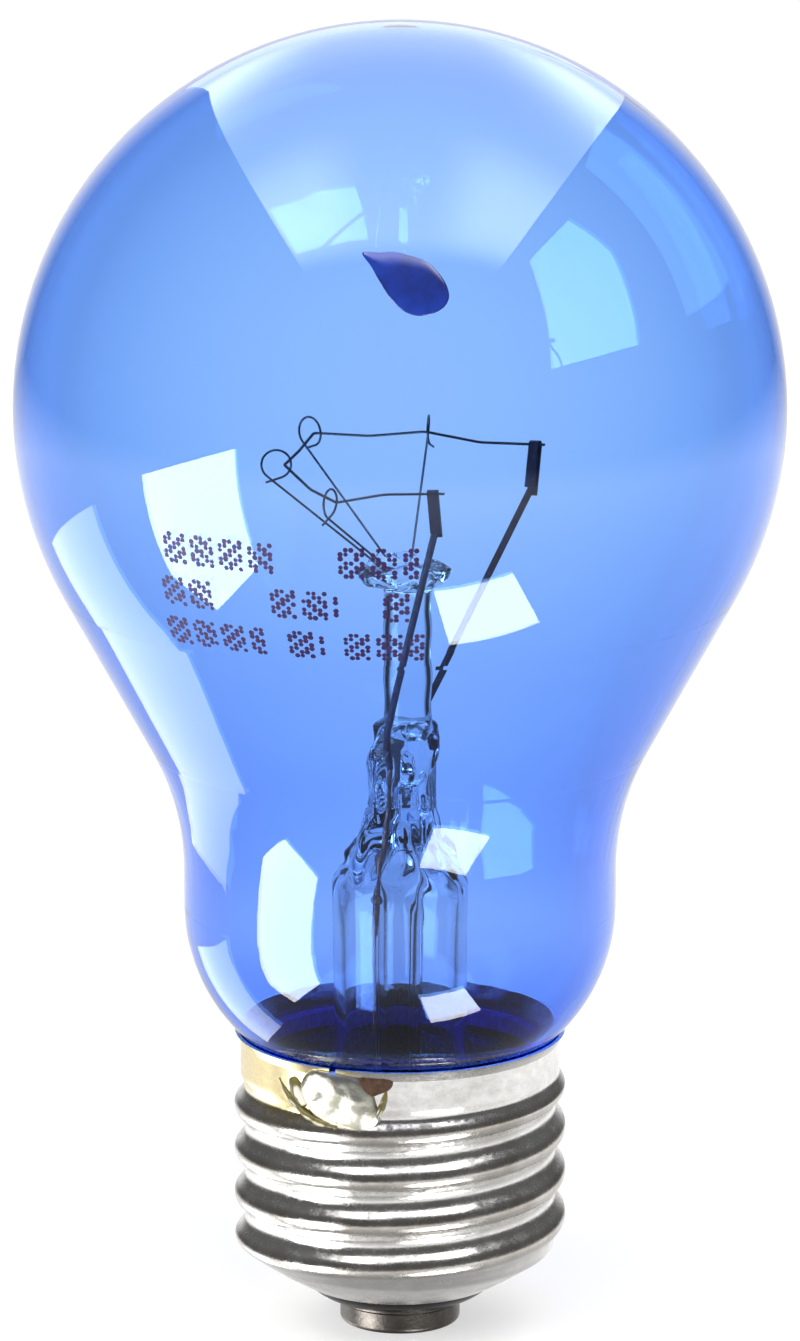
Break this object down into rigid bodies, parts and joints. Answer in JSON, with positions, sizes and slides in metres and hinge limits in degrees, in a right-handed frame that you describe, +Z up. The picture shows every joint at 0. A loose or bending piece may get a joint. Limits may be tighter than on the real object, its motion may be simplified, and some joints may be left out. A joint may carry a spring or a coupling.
{
  "type": "reptile heat bulb",
  "caption": "Blue glass incandescent heat lamp with a glass mount, leads, supports and coiled filament inside, on a threaded metal screw cap.",
  "frame": {"origin": "middle of the centre contact's underside", "axes": "+Z runs up the bulb's axis from the centre contact to the crown, -Y is the front"},
  "size_m": [0.0602, 0.0602, 0.1042],
  "materials": {
    "blue_glass": "clear glass dyed cobalt blue, polished",
    "clear_glass": "clear fire-polished glass",
    "tungsten": "drawn dark wire, coiled",
    "molybdenum_wire": "fine drawn wire",
    "nickel_wire": "drawn wire, dulled by heat",
    "copper_wire": "oxidised copper wire",
    "cap_metal": "bright tinned sheet, lightly scuffed",
    "black_glass": "black moulded glass, glossy",
    "contact_metal": "tarnished and scratched",
    "solder": "lumpy solder with flux residue",
    "cement": "baked basing cement"
  },
  "bodies": {
    "root": {"envelope": "blue_glass", "stem": "clear_glass", "exhaust_tube": "clear_glass", "arbor_rod": "clear_glass", "filament": "tungsten", "support_wire_1": "molybdenum_wire", "support_wire_2": "molybdenum_wire", "support_wire_3": "molybdenum_wire", "support_wire_4": "molybdenum_wire", "inner_lead_near": "nickel_wire", "inner_lead_far": "nickel_wire", "seal_wire_near": "copper_wire", "seal_wire_far": "copper_wire", "outer_lead_side": "copper_wire", "outer_lead_centre": "copper_wire", "screw_shell": "cap_metal", "insulator": "black_glass", "centre_contact": "contact_metal", "centre_solder": "solder", "side_solder": "solder", "basing_cement": "cement"}
  },
  "joints": []
}
